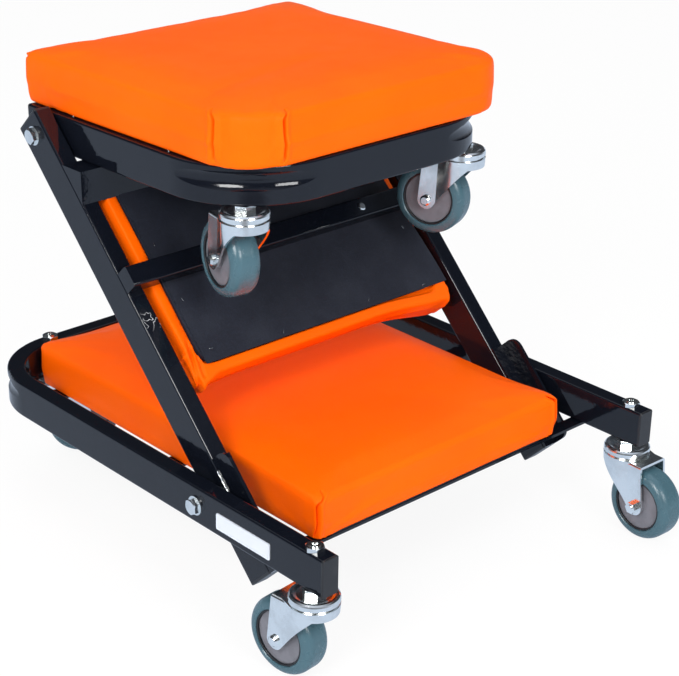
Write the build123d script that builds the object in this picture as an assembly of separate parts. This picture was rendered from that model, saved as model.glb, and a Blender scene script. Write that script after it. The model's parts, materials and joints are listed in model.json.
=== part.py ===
from build123d import *
from math import acos, asin, atan2, cos, radians, sin, tan
import os

# Rolling mechanic seat that unfolds into a creeper, folded up as a seat. Millimetres.
# X to the seat's right, Y to the back, Z up. The origin is on the floor, on the centre plane,
# half way between the front and the rear base casters.

# Tube and sheet
tube_w = 19.05
tube_h = 38.1
tube_wall = 1.6
tube_corner = 2.4
pinch_depth = 4.2
pinch_section_r = 12.5
pinch_rise = 4.6
pinch_half_angle = 42.0
sheet_t = 3.0
sheet_bend_r = 2.5
plug_lip = 2.4
plug_depth = 10.0
plug_play = 0.15

# Base
base_width = 451.9
base_length = 552.2
base_bend_r = 76.2
rail_height = 98.6
front_stem_inset = 20.9
rear_stem_inset = 2.2
front_strap_inset = 3.0
front_strap_w = 15.5
strap_tail_gap = 11.5
rear_strap_inset = 39.0
strap_w = 21.0
strap_lap = 9.5

# Arms
arm_angle = 45.46
arm_gap = 7.4
arm_pivot_y = 175.5
arm_length = 398.0
arm_top_over = 19.0
arm_tail = 88.0
rest_reach = 76.1
bar_from_seat_pivot = 188.7
bar_w = 21.5
bar_depth = 17.5
bar_screw_x = 100.0
bracket_depth = 25.4
bracket_over = 31.0
bracket_corner_r = 13.0

# Seat section
seat_gap = 2.4
seat_front = 286.7
seat_back = 43.0
seat_bend_r = 88.9
seat_pitch = 1.0

# Boards
board_t = 6.0
board_corner_r = 16.0
base_board_inset = 12.0
base_board_front_inset = 4.0
middle_board_inset = 16.0
middle_board_start = 120.0
middle_board_top_gap = 73.0
seat_board_inset = 12.0
seat_board_front_inset = 7.7
seat_board_back_inset = 2.0
seat_board_corner_r = 40.0

# Cushions
base_cushion_gap = 12.4
base_cushion_start = 72.5
base_cushion_back_gap = 4.2
base_cushion_rise = 14.0
middle_cushion_gap = 6.4
middle_cushion_start = 104.5
middle_cushion_top_gap = 68.0
middle_cushion_t = 49.0
seat_cushion_gap = 4.1
seat_cushion_front_over = 3.8
seat_cushion_back_over = 9.6
seat_cushion_t = 53.0
cushion_crown = 5.0
cushion_edge = 10.0
cushion_draw = 3.5
cushion_corner_r = 16.0
seat_cushion_corner_r = 52.0
soft_gap = 0.3

# Caster
wheel_r = 38.1
wheel_w = 30.5
tread_round = 9.5
tread_bead = 0.8
core_r = 27.6
core_half = 12.1
core_groove_w = 2.2
core_groove_depth = 1.6
hub_r = 8.6
hub_gap = 0.3
bush_r = 5.5
fork_side_gap = 1.2
fork_t = 2.5
fork_bend_r = 5.0
fork_crease = 17.6
fork_brow = 14.0
fork_lip = 8.8
fork_hollow = 1.2
fork_heel_lean = 5.0
boss_r = 9.3
trail = 30.5
collar_h = 6.5
collar_af = 19.0
race_r = 23.7
race_h = 5.5
race_t = 2.0
race_gap = 0.5
lower_race_h = 2.0
kingpin_r = 4.0
rivet_r = 6.4
rivet_h = 2.6
axle_r = 3.95
axle_head_r = 5.6
axle_head_h = 3.6
axle_nut_af = 11.0
axle_nut_h = 6.0
base_swivel_angles = (95.3, 268.1, 333.0, 30.0)
seat_swivel_angles = (78.0, 110.0)

# Fasteners
stem_r = 5.5
stem_nut_af = 16.0
stem_nut_h = 4.2
stem_dimple_r = 2.7
stem_dimple_depth = 2.6
seat_bush_r = 7.0
seat_bush_h = 9.0
pivot_r = 4.7
pivot_head_af = 14.3
pivot_head_h = 5.5
pivot_nut_h = 7.0
pivot_spacer_r = 8.0
washer_r = 9.5
washer_t = 1.6
nut_crown_h = 1.8
thread_end = 1.4
screw_r = 2.2
screw_head_r = 4.4
screw_head_h = 2.0
running = 0.06
fixed_fit = 0.1
play = 0.3
overrun = 60.0

# Shares, chosen by hand, of the sizes that they follow
plug_hollow_share = 0.45
nut_crown_share = 0.84
head_round_share = 0.3
hex_corner_share = 0.577
hex_chamfer_share = 0.18
race_top_shares = ((0.70, 0.0), (0.82, -0.18), (0.92, -0.18), (0.98, 0.06), (1.0, 0.30), (1.0, 1.0))
race_under_shares = ((0.86, 1.0), (0.80, 0.62), (0.55, 0.36))
foot_ring_shares = ((1.0, 0.0), (0.0, 0.45), (0.15, 1.0))
edge_ring_shares = ((0.12, 0.45), (0.40, 0.80), (1.0, 1.0))
crown_ring_shares = ((0.10, 0.45), (0.30, 0.85), (0.62, 1.0))
screw_depth_share = 0.7
front_screw_share = 0.5
strap_screw_share = 0.6
seat_screw_shares = (0.05, 0.58)

# Places worked out from the sizes
base_half = base_width / 2
base_inner = base_half - tube_w
rail_x = base_half - tube_w / 2
wheelbase = base_length - tube_w / 2 - front_stem_inset
front_y = -wheelbase / 2 - front_stem_inset
arm_outer = base_inner - arm_gap
arm_inner = arm_outer - tube_w
arm_x = arm_outer - tube_w / 2
bar_start = arm_length - bar_from_seat_pivot
rear_stem_x = rail_x - base_bend_r - rear_stem_inset
seat_half = arm_inner - seat_gap
seat_inner = seat_half - tube_w
seat_x = seat_half - tube_w / 2
face = tube_h / 2
base_cushion_half = arm_inner - base_cushion_gap
base_cushion_length = base_length - tube_w - base_cushion_back_gap - base_cushion_start
base_board_half = base_cushion_half - base_board_inset
base_board_start = base_cushion_start + base_board_front_inset
base_board_length = base_cushion_length - base_board_front_inset - base_board_inset
middle_cushion_half = arm_inner - middle_cushion_gap
middle_cushion_length = arm_length - middle_cushion_top_gap - middle_cushion_start
middle_board_half = middle_cushion_half - middle_board_inset
middle_board_length = arm_length - middle_board_top_gap - middle_board_start
seat_cushion_half = arm_inner - seat_cushion_gap
seat_cushion_front = seat_front + seat_cushion_front_over
seat_cushion_back = seat_back + seat_cushion_back_over
seat_board_half = seat_half - seat_board_inset
seat_board_front = seat_front - seat_board_front_inset
seat_board_back = seat_back - seat_board_back_inset
axle_drop = rail_height - wheel_r
crown_top = collar_h + race_h + race_gap + lower_race_h
crown_bottom = crown_top + fork_t
fork_inner = wheel_w / 2 + fork_side_gap
fork_outer = fork_inner + fork_t
diagonal = cos(radians(45))
seat_stem_x = seat_x - seat_bend_r + seat_bend_r * diagonal
seat_stem_y = tube_w / 2 - seat_front + seat_bend_r - seat_bend_r * diagonal

# Frames of the three sections, each with its rails' middle height at z = 0
base_place = Pos(0, front_y, rail_height + face)
arm_place = base_place * Pos(0, arm_pivot_y, 0) * Rot(arm_angle, 0, 0)
seat_place = arm_place * Pos(0, arm_length, 0) * Rot(-arm_angle - seat_pitch, 0, 0)

base_caster_points = {
    "front_left": (-rail_x, front_stem_inset),
    "front_right": (rail_x, front_stem_inset),
    "rear_left": (-rear_stem_x, base_length - tube_w / 2),
    "rear_right": (rear_stem_x, base_length - tube_w / 2),
}
seat_caster_points = {
    "seat_left": (-seat_stem_x, seat_stem_y),
    "seat_right": (seat_stem_x, seat_stem_y),
}


# Shared shapes

def block(x, y, z):
    """A block between two limits along each axis."""
    size = [high - low for low, high in (x, y, z)]
    return Pos(x[0], y[0], z[0]) * Box(*size, align=(Align.MIN, Align.MIN, Align.MIN))


def round_bar(radius, start, end):
    return Pos(0, 0, start) * extrude(Circle(radius), end - start)


def hex_bar(across_flats, start, end):
    flats = RegularPolygon(across_flats / 2, 6, major_radius=False)
    return Pos(0, 0, start) * extrude(flats, end - start)


def along_x(shape):
    """Turn a shape drawn up Z so that it runs along +X."""
    return Rot(0, 90, 0) * shape


def along_y(shape):
    """Turn a shape drawn up Z so that it runs along +Y."""
    return Rot(-90, 0, 0) * shape


def both(shape):
    """The shape and its mirror image across the centre plane."""
    return [shape, mirror(shape, about=Plane.YZ)]


def tube_section(inset=0):
    """The tube's outside, or what lies inside its wall."""
    corner = max(tube_corner - inset, tube_corner / 3)
    return RectangleRounded(tube_w - 2 * inset, tube_h - 2 * inset, corner)


def across_y(y):
    return Plane(origin=(0, y, 0), x_dir=(1, 0, 0), z_dir=(0, 1, 0))


def hex_head(across_flats, height):
    """Hexagon on its seat at z = 0, its corners turned off at the top."""
    round_top = round_bar(across_flats * hex_corner_share, 0, height)
    round_top = chamfer(round_top.edges().group_by(Axis.Z)[-1], height * hex_chamfer_share, height * head_round_share)
    return hex_bar(across_flats, 0, height) & round_top


def nut(across_flats, height, bore):
    """Nut on its seat at z = 0, with a round crown."""
    body = hex_head(across_flats, height)
    body += round_bar(across_flats / 2 * nut_crown_share, height, height + nut_crown_h)
    return body - round_bar(bore, -overrun, overrun)


def flange_bolt(reach):
    """Pivot bolt with its flange and hexagon head below z = 0 and its shank upwards."""
    head = Pos(0, 0, -washer_t) * Rot(180, 0, 0) * hex_head(pivot_head_af, pivot_head_h)
    return head + round_bar(washer_r, -washer_t, 0) + round_bar(pivot_r, 0, reach)


def pan_screw(reach):
    """Pan head screw with its head below z = 0 and its shank upwards."""
    head = round_bar(screw_head_r, -screw_head_h, 0)
    head = chamfer(head.edges().group_by(Axis.Z)[0], screw_head_h / 2)
    return head + round_bar(screw_r, 0, reach)


# Bent and straight tube

def bend_pinch(half, length, bend_r, wall):
    """What the outer wall of each bend loses where it folds in: a ring set back towards the bend's middle."""
    outer = bend_r + tube_w / 2
    shift = pinch_depth * (outer - pinch_depth / 2) / (
        outer - pinch_depth - outer * cos(radians(pinch_half_angle)))
    ring = outer - pinch_depth + shift + pinch_section_r
    x, y = half - outer, length - outer
    torus = Pos(x - shift * diagonal, y - shift * diagonal, pinch_rise) * Torus(ring, pinch_section_r + wall)
    return both(torus & block((x, half + overrun), (y, length + overrun), (-tube_h, tube_h)))


def bent_tube(half, length, bend_r):
    """A U of rectangular tube: open ends at y = 0, two legs along Y, closed by two bends at its length."""
    x, y = half - tube_w / 2, length - tube_w / 2
    with BuildLine() as line:
        Line((-x, 0), (-x, y - bend_r))
        RadiusArc((-x, y - bend_r), (bend_r - x, y), bend_r)
        Line((bend_r - x, y), (x - bend_r, y))
        RadiusArc((x - bend_r, y), (x, y - bend_r), bend_r)
        Line((x, y - bend_r), (x, 0))
    path = line.wire()
    end = Pos(-x, 0, 0) * across_y(0)
    outside = sweep(end * tube_section(), path) - bend_pinch(half, length, bend_r, 0)
    inside = sweep(end * tube_section(tube_wall), path) - bend_pinch(half, length, bend_r, tube_wall)
    return outside - inside


def straight_tube(start, end):
    wall = extrude(across_y(start) * tube_section(), end - start)
    return wall - extrude(across_y(start) * tube_section(tube_wall), end - start)


def end_plug():
    """Moulded plug for a tube whose end is at y = 0: a lip across the end and a hollow body in the bore."""
    lip = extrude(across_y(-plug_lip) * tube_section(), plug_lip)
    lip = chamfer(lip.edges().group_by(Axis.Y)[0], plug_lip / 3)
    fit = tube_wall + plug_play
    body = extrude(across_y(0) * tube_section(fit), plug_depth)
    hollow = Rectangle(tube_w - 2 * fit - 2 * tube_wall, tube_h - 2 * fit - 2 * tube_wall)
    return lip + body - extrude(across_y(plug_depth * plug_hollow_share) * hollow, plug_depth)


# Boards and cushions, from y = 0 to their length with their underside at z = 0

def board(half, length, corner_r, clearance=0):
    outline = RectangleRounded(2 * (half + clearance), length + 2 * clearance, corner_r + clearance)
    return Pos(0, length / 2, 0) * extrude(outline, board_t + clearance)


def cushion(half, length, thickness, corner_r):
    """Stuffed cushion: sides drawn in at the foot, a soft rolled edge and a crowned top."""
    wall = thickness - cushion_crown - cushion_edge
    rings = [(cushion_draw * inset, wall * height) for inset, height in foot_ring_shares]
    rings += [(cushion_edge * inset, wall + cushion_edge * height) for inset, height in edge_ring_shares]
    middle = min(half, length / 2) - cushion_edge
    rings += [(cushion_edge + middle * inset, wall + cushion_edge + cushion_crown * height)
              for inset, height in crown_ring_shares]
    sections = []
    for inset, z in rings:
        corner = max(corner_r - inset, corner_r / 3)
        outline = RectangleRounded(2 * (half - inset), length - 2 * inset, corner)
        sections.append(Pos(0, length / 2, z) * outline)
    return loft(sections, ruled=True)


# Caster, with its stem up the Z axis, the rail's underside at z = 0 and the trail along +X

def caster_stem(reach):
    """Stem with its hexagon collar, and the kingpin below with its riveted end."""
    stem = round_bar(stem_r, 0, reach) + hex_bar(collar_af, -collar_h, 0)
    stem -= round_bar(stem_dimple_r, reach - stem_dimple_depth, reach + stem_dimple_depth)
    stem += round_bar(kingpin_r, -crown_bottom - play, -collar_h)
    rivet = round_bar(rivet_r, -crown_bottom - play - rivet_h, -crown_bottom - play)
    return stem + chamfer(rivet.edges().group_by(Axis.Z)[0], rivet_h / 2)


def caster_race():
    """Upper raceway: a dished ring under the collar that covers the balls."""
    top = [(race_r * across, -collar_h - race_h * down) for across, down in race_top_shares]
    under = [(race_r * across, -collar_h - race_h * down) for across, down in race_under_shares]
    with BuildSketch(Plane.XZ) as section:
        with BuildLine():
            Polyline([(kingpin_r, -collar_h)] + top + under + [(kingpin_r, -collar_h - race_t)], close=True)
        make_face()
    return revolve(section.sketch, Axis.Z)


def fork_side():
    """Side view of the fork: a lip round the front, a slanting front edge, a round foot and a leaning heel."""
    foot, lip = -axle_drop, -crown_top - fork_lip
    brow, top_heel = (-fork_brow, lip), (trail + boss_r - fork_heel_lean, -crown_top)
    slope_x, slope_z = trail + fork_brow, foot - lip
    reach = (slope_x ** 2 + slope_z ** 2) ** 0.5
    swing = atan2(slope_z, slope_x) - asin(boss_r / reach)
    toe = (trail + boss_r * sin(swing), foot - boss_r * cos(swing))
    waist = ((brow[0] + toe[0]) / 2 - fork_hollow * sin(swing), (brow[1] + toe[1]) / 2 + fork_hollow * cos(swing))
    with BuildSketch(Plane.XZ) as side:
        with BuildLine():
            Polyline(brow, (-overrun, lip), (-overrun, -crown_top), top_heel, (trail + boss_r, foot))
            ThreePointArc((trail + boss_r, foot), (trail, foot - boss_r), toe)
            ThreePointArc(toe, waist, brow)
        make_face()
    return side.sketch


def fork_section(radius, half):
    """Level section of the fork: round in front, then straight out to a crease at each leg, and square behind."""
    turn = atan2(half, fork_crease) + acos(radius / (half ** 2 + fork_crease ** 2) ** 0.5)
    x, y = radius * cos(turn), radius * sin(turn)
    with BuildSketch() as section:
        with BuildLine():
            Polyline((x, y), (fork_crease, half), (overrun, half), (overrun, -half), (fork_crease, -half), (x, -y))
            ThreePointArc((x, -y), (-radius, 0), (x, y))
        make_face()
    return section.sketch


def fork_shape(top, radius, half):
    """The fork's outside, or what its sheet encloses: it narrows from the raceway down to the legs' width."""
    low = -axle_drop - 2 * boss_r
    return loft([Pos(0, 0, top) * fork_section(radius, half), Pos(0, 0, low) * fork_section(half, half)], ruled=True)


def caster_fork():
    """Pressed fork: a sheet drawn down round the front and at both sides, its lower raceway and its holes."""
    outside = fork_shape(-crown_top, race_r, fork_outer)
    outside = fillet(outside.edges().group_by(Axis.Z)[-1].filter_by(Axis.X), fork_bend_r - fork_t)
    fork = outside - fork_shape(-crown_bottom, race_r - fork_t, fork_inner)
    fork &= extrude(fork_side(), overrun, both=True)
    fork += round_bar(race_r - race_t, -crown_top, -crown_top + lower_race_h)
    fork -= round_bar(race_r - 2 * race_t, -crown_top, -crown_top + overrun)
    fork -= round_bar(kingpin_r + running, -overrun, 0)
    return fork - Pos(trail, 0, -axle_drop) * along_y(round_bar(axle_r + fixed_fit, -overrun, overrun))


def on_axle(shape):
    return Pos(trail, 0, -axle_drop) * along_y(shape)


def caster_axle():
    """Axle bolt, its nut, and the bush between the legs that the wheel turns on."""
    axle = round_bar(axle_r, -fork_outer - axle_nut_h - thread_end, fork_outer)
    axle += round_bar(bush_r, -fork_inner, fork_inner)
    head = round_bar(axle_head_r, fork_outer, fork_outer + axle_head_h)
    axle += chamfer(head.edges().group_by(Axis.Z)[-1], axle_head_h / 2)
    axle += hex_bar(axle_nut_af, -fork_outer - axle_nut_h, -fork_outer)
    return on_axle(axle)


def wheel_core():
    """Moulded core: a hub that runs on the bush, a flat disc each side and a groove round its edge."""
    hub = fork_inner - hub_gap
    disc_r = core_r - core_groove_w
    half_outline = [(bush_r + running, hub), (hub_r, hub), (hub_r, core_half), (disc_r, core_half),
                    (disc_r, core_half - core_groove_depth), (core_r, core_half - core_groove_depth)]
    return revolved(half_outline)


def revolved(half_outline):
    """A ring about the axle from half of its section, mirrored about the wheel's middle."""
    other_half = [(r, -z) for r, z in reversed(half_outline)]
    with BuildSketch(Plane.XZ) as section:
        with BuildLine():
            Polyline(half_outline + other_half, close=True)
        make_face()
    return on_axle(revolve(section.sketch, Axis.Z))


def wheel_tread():
    """Rubber tread with rounded shoulders, bonded round the core."""
    half = wheel_w / 2
    flat, shoulder = half - tread_round, wheel_r - tread_round
    arc_r, arc_z = shoulder + tread_round * diagonal, flat + tread_round * diagonal
    with BuildSketch(Plane.XZ) as section:
        with BuildLine():
            Polyline((shoulder, half), (core_r + tread_bead, half), (core_r, half - tread_bead),
                     (core_r, tread_bead - half), (core_r + tread_bead, -half), (shoulder, -half))
            ThreePointArc((shoulder, -half), (arc_r, -arc_z), (wheel_r, -flat))
            Line((wheel_r, -flat), (wheel_r, flat))
            ThreePointArc((wheel_r, flat), (arc_r, arc_z), (shoulder, half))
        make_face()
    return on_axle(revolve(section.sketch, Axis.Z))


# Base: bent tube, plugs, straps under the board, board, cushion and the arms' pivots

def base_nodes():
    frame = Pos(0, plug_lip, 0) * bent_tube(base_half, base_length - plug_lip, base_bend_r)
    for x, y in base_caster_points.values():
        frame -= Pos(x, y, 0) * round_bar(stem_r + fixed_fit, -overrun, overrun)
    pivot_bore = round_bar(pivot_r + fixed_fit, -base_width, base_width)
    frame -= Pos(0, arm_pivot_y, 0) * along_x(pivot_bore)

    panel = Pos(0, base_board_start, -face) * board(base_board_half, base_board_length, board_corner_r)
    pocket = Pos(0, base_board_start, -face) * board(base_board_half, base_board_length, board_corner_r, soft_gap)
    pad = Pos(0, base_cushion_start, soft_gap - face) * cushion(
        base_cushion_half, base_cushion_length, tube_h + base_cushion_rise - soft_gap, cushion_corner_r)

    strap_x = base_inner + strap_lap
    board_end = base_board_start + base_board_length
    straps, screws = [], []
    for start, width in ((base_cushion_start + front_strap_inset, front_strap_w),
                         (arm_pivot_y + arm_tail + strap_tail_gap, strap_w),
                         (board_end - rear_strap_inset, strap_w)):
        strap = block((-strap_x, strap_x), (start, start + width), (-face - sheet_t, -face))
        for side in (-1, 1):
            at = Pos(side * base_board_half * strap_screw_share, start + width * front_screw_share, -face - sheet_t)
            screws.append(at * pan_screw(sheet_t + board_t * screw_depth_share))
            hole = at * round_bar(screw_r + fixed_fit, -overrun, sheet_t + board_t * screw_depth_share + play)
            strap -= hole
            panel -= hole
        straps.append(strap)

    inner_end = arm_inner - play
    reach = washer_t + base_half - inner_end + pivot_nut_h + nut_crown_h + thread_end
    bolt = Pos(-base_half, arm_pivot_y, 0) * along_x(flange_bolt(reach - washer_t))
    lock = Pos(-inner_end, arm_pivot_y, 0) * along_x(nut(pivot_head_af, pivot_nut_h, pivot_r + fixed_fit))
    spacer = round_bar(pivot_spacer_r, 0, arm_gap - play) - round_bar(pivot_r + fixed_fit, -overrun, overrun)
    stem_reach = tube_h + stem_nut_h + thread_end
    stem_nut = hex_head(stem_nut_af, stem_nut_h) - round_bar(stem_r + fixed_fit, -overrun, overrun)
    points = base_caster_points.values()
    return {
        "base_frame": [frame],
        "base_end_plugs": both(Pos(-rail_x, plug_lip, 0) * end_plug()),
        "base_straps": straps,
        "base_board": [panel],
        "base_board_screws": screws,
        "base_cushion": [pad - pocket],
        "base_pivot_bolts": both(bolt),
        "base_pivot_nuts": both(lock),
        "base_pivot_spacers": both(Pos(-base_inner, arm_pivot_y, 0) * along_x(spacer)),
        "base_caster_stems": [Pos(x, y, -face) * caster_stem(stem_reach) for x, y in points],
        "base_caster_races": [Pos(x, y, -face) * caster_race() for x, y in points],
        "base_stem_nuts": [Pos(x, y, face) * stem_nut for x, y in points],
    }


# Arms, along Y from their lower pivot, with the side that faces the seat's user up Z

def arm_nodes():
    top = arm_length + arm_top_over
    arm = Pos(-arm_x, 0, 0) * straight_tube(plug_lip - arm_tail, top - plug_lip)
    arm -= along_x(round_bar(pivot_r + running, -base_width, 0))
    arm -= Pos(0, arm_length, 0) * along_x(round_bar(pivot_r + fixed_fit, -base_width, 0))
    plugs = [Pos(-arm_x, plug_lip - arm_tail, 0) * end_plug(),
             Pos(-arm_x, top - plug_lip, 0) * Rot(0, 0, 180) * end_plug()]

    panel = Pos(0, middle_board_start, face - board_t) * board(
        middle_board_half, middle_board_length, board_corner_r)
    pocket = Pos(0, middle_board_start, face) * Rot(0, 180, 0) * board(
        middle_board_half, middle_board_length, board_corner_r, soft_gap)
    pad = Pos(0, middle_cushion_start, face - soft_gap) * Rot(0, 180, 0) * cushion(
        middle_cushion_half, middle_cushion_length, middle_cushion_t, cushion_corner_r)

    bar_end = bar_start + bar_w
    bar = block((-arm_outer, arm_outer), (bar_start, bar_end), (face, face + bar_depth))
    bar = fillet(bar.edges().filter_by(Axis.X).group_by(Axis.Z)[-1], sheet_bend_r)
    bar -= block((sheet_t - arm_outer, arm_outer - sheet_t), (bar_start + sheet_t, bar_end - sheet_t),
                 (face - overrun, face + bar_depth - sheet_t))
    screws = []
    for side in (-1, 1):
        at = Pos(side * bar_screw_x, (bar_start + bar_end) / 2, face + bar_depth) * Rot(180, 0, 0)
        grip = bar_depth + board_t * screw_depth_share
        screws.append(at * pan_screw(grip))
        hole = at * round_bar(screw_r + fixed_fit, -overrun, grip + play)
        bar -= hole
        panel -= hole

    web = block((-arm_outer, sheet_t - arm_outer), (-arm_tail, bracket_over), (face, face + bracket_depth))
    web = fillet(web.edges().filter_by(Axis.X).group_by(Axis.Z)[-1], bracket_corner_r)
    bracket = web + block((-arm_outer, -arm_inner), (-arm_tail, bracket_over), (face, face + sheet_t))

    inner_end = seat_inner - play
    reach = arm_outer - inner_end + pivot_nut_h + nut_crown_h + thread_end
    at_seat = Pos(0, arm_length, 0)
    bolt = at_seat * Pos(-arm_outer, 0, 0) * along_x(flange_bolt(reach))
    lock = at_seat * Pos(-inner_end, 0, 0) * along_x(nut(pivot_head_af, pivot_nut_h, pivot_r + fixed_fit))
    washer = round_bar(pivot_spacer_r, 0, seat_gap - play) - round_bar(pivot_r + fixed_fit, -overrun, overrun)
    return {
        "left_arm": [arm],
        "right_arm": [mirror(arm, about=Plane.YZ)],
        "arm_end_plugs": [piece for plug in plugs for piece in both(plug)],
        "seat_rest": [seat_rest()],
        "cushion_bar": [bar],
        "bar_screws": screws,
        "stop_brackets": both(bracket),
        "middle_board": [panel],
        "middle_cushion": [pad - pocket],
        "seat_pivot_bolts": both(bolt),
        "seat_pivot_nuts": both(lock),
        "seat_pivot_washers": both(at_seat * Pos(-arm_inner, 0, 0) * along_x(washer)),
    }


def seat_rest():
    """Angle across the arms' fronts, corner forward, with a closed end at each side; the seat's rails lie on it."""
    lean = radians(arm_angle + seat_pitch)

    def arm_face_y(z):
        return (z - face * cos(lean)) / tan(lean) - face * sin(lean)

    def arm_face_z(y):
        return (y + face * sin(lean)) * tan(lean) + face * cos(lean)

    def corner(inset):
        y, z = inset - rest_reach, -face - play - inset
        return [(y, z), (arm_face_y(z), z), (y, arm_face_z(y))]

    outer, inner = corner(0), corner(sheet_t)
    angle = Plane.YZ * make_face(Polyline(outer[0], outer[1], inner[1], inner[0], inner[2], outer[2], close=True))
    end = Plane.YZ * make_face(Polyline(*outer, close=True))
    rest = Pos(-arm_outer, 0, 0) * extrude(angle, 2 * arm_outer, dir=(1, 0, 0))
    for start in (-arm_outer, arm_outer - sheet_t):
        rest += Pos(start, 0, 0) * extrude(end, sheet_t, dir=(1, 0, 0))
    return Pos(0, arm_length, 0) * Rot(-arm_angle - seat_pitch, 0, 0) * rest


# Seat section, with its pivot at the origin

def seat_nodes():
    length = seat_front + seat_back - plug_lip
    frame = Pos(0, seat_back - plug_lip, 0) * Rot(0, 0, 180) * bent_tube(seat_half, length, seat_bend_r)
    frame -= along_x(round_bar(pivot_r + running, -base_width, base_width))
    for x, y in seat_caster_points.values():
        frame -= Pos(x, y, 0) * round_bar(stem_r + fixed_fit, -overrun, 0)
    panel = Pos(0, -seat_board_front, face) * board(
        seat_board_half, seat_board_front + seat_board_back, seat_board_corner_r)
    pad = Pos(0, -seat_cushion_front, face + board_t + soft_gap) * cushion(
        seat_cushion_half, seat_cushion_front + seat_cushion_back, seat_cushion_t, seat_cushion_corner_r)
    screws = []
    for share in seat_screw_shares:
        for side in (-1, 1):
            at = Pos(side * seat_x, -seat_front * share - washer_r, -face)
            grip = tube_h + board_t * screw_depth_share
            screws.append(at * pan_screw(grip))
            hole = at * round_bar(screw_r + fixed_fit, -overrun, grip + play)
            frame -= hole
            panel -= hole
    bush = round_bar(seat_bush_r, 0, seat_bush_h) - round_bar(stem_r + fixed_fit, -overrun, overrun)
    stem_reach = tube_wall + seat_bush_h
    points = seat_caster_points.values()
    return {
        "seat_frame": [frame],
        "seat_end_plugs": both(Pos(-seat_x, seat_back - plug_lip, 0) * Rot(0, 0, 180) * end_plug()),
        "seat_board": [panel],
        "seat_board_screws": screws,
        "seat_cushion": [pad],
        "seat_caster_stems": [Pos(x, y, -face) * caster_stem(stem_reach) for x, y in points],
        "seat_caster_races": [Pos(x, y, -face) * caster_race() for x, y in points],
        "seat_stem_bushes": [Pos(x, y, tube_wall - face) * bush for x, y in points],
    }


# Casters as they stand in the photograph, each turned about its stem

def caster_places():
    places = {}
    for section, points, swivels in ((base_place, base_caster_points, base_swivel_angles),
                                     (seat_place, seat_caster_points, seat_swivel_angles)):
        for (name, (x, y)), swivel in zip(points.items(), swivels):
            places[name] = section * Pos(x, y, -face) * Rot(0, 0, swivel)
    return places


def save(node, solids):
    if len(solids) == 1:
        export_step(solids[0], f"parts/{node}.step")
    else:
        export_step(Compound(children=solids), f"parts/{node}.step")


os.makedirs("parts", exist_ok=True)
for place, nodes in ((base_place, base_nodes()), (arm_place, arm_nodes()), (seat_place, seat_nodes())):
    for node, shapes in nodes.items():
        save(node, [solid for shape in shapes for solid in (place * shape).solids()])

caster_pieces = {"fork": caster_fork(), "axle": caster_axle(), "wheel_core": wheel_core(), "tread": wheel_tread()}
for caster, place in caster_places().items():
    for piece, shape in caster_pieces.items():
        save(f"{caster}_{piece}", (place * shape).solids())
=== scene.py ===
"""Looks of the rolling mechanic seat: finishes, three stuffed cushions, small trim and a plain studio."""

import json
from math import cos, pi, radians, sin

import bpy
import numpy as np
from bpy.props import FloatProperty, FloatVectorProperty, IntProperty, PointerProperty
from mathutils import Matrix, Vector


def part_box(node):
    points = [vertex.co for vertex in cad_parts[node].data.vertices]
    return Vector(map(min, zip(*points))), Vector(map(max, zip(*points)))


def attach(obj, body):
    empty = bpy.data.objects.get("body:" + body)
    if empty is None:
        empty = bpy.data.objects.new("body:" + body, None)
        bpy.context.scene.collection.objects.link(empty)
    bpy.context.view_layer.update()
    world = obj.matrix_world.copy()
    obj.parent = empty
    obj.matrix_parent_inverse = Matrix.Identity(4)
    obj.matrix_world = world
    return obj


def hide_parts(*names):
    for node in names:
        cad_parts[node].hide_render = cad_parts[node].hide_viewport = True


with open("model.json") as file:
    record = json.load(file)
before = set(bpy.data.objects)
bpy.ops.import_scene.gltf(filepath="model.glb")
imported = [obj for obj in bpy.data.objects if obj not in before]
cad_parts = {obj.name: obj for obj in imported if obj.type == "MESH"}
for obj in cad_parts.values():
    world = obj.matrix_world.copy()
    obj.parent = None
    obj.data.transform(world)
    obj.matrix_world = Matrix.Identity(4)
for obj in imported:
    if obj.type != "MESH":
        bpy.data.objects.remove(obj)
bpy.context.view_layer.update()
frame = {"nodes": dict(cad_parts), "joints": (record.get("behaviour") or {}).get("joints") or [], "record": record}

bl_info = {
    "name": "Rolling Mechanic Seat",
    "version": (1, 0, 0),
    "blender": (4, 5, 0),
    "location": "View3D > Sidebar > Mechanic Seat",
    "description": "Vinyl cushions, gloss paint, zinc and a studio for a rolling mechanic seat",
    "category": "Object",
}

NODES = frame["nodes"]
JOINTS = {joint["name"]: joint for joint in frame["joints"]}

# Places of the three sections: base level, arms leaning back, seat pitched up a little in front.
ARM_LEAN = radians(45.46)
SEAT_PITCH = radians(-1.0)
ARMS = Matrix.Translation(JOINTS["arm_fold"]["pos_m"]) @ Matrix.Rotation(ARM_LEAN, 4, "X")
SEAT = Matrix.Translation(JOINTS["seat_fold"]["pos_m"]) @ Matrix.Rotation(SEAT_PITCH, 4, "X")
BASE = Matrix.Translation((0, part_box("base_frame")[0].y, JOINTS["arm_fold"]["pos_m"][2]))

TUBE_HALF = 0.01905
SEAT_BOARD_T = 0.0063
CORNERS = ("front_left", "front_right", "rear_left", "rear_right", "seat_left", "seat_right")


# Sizes and colours

def length(name, description, default):
    return FloatProperty(name=name, description=description, default=default, unit="LENGTH")


def colour(name, description, default):
    return FloatVectorProperty(name=name, description=description, default=default, subtype="COLOR",
                               size=3, min=0.0, soft_max=1.0)


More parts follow.
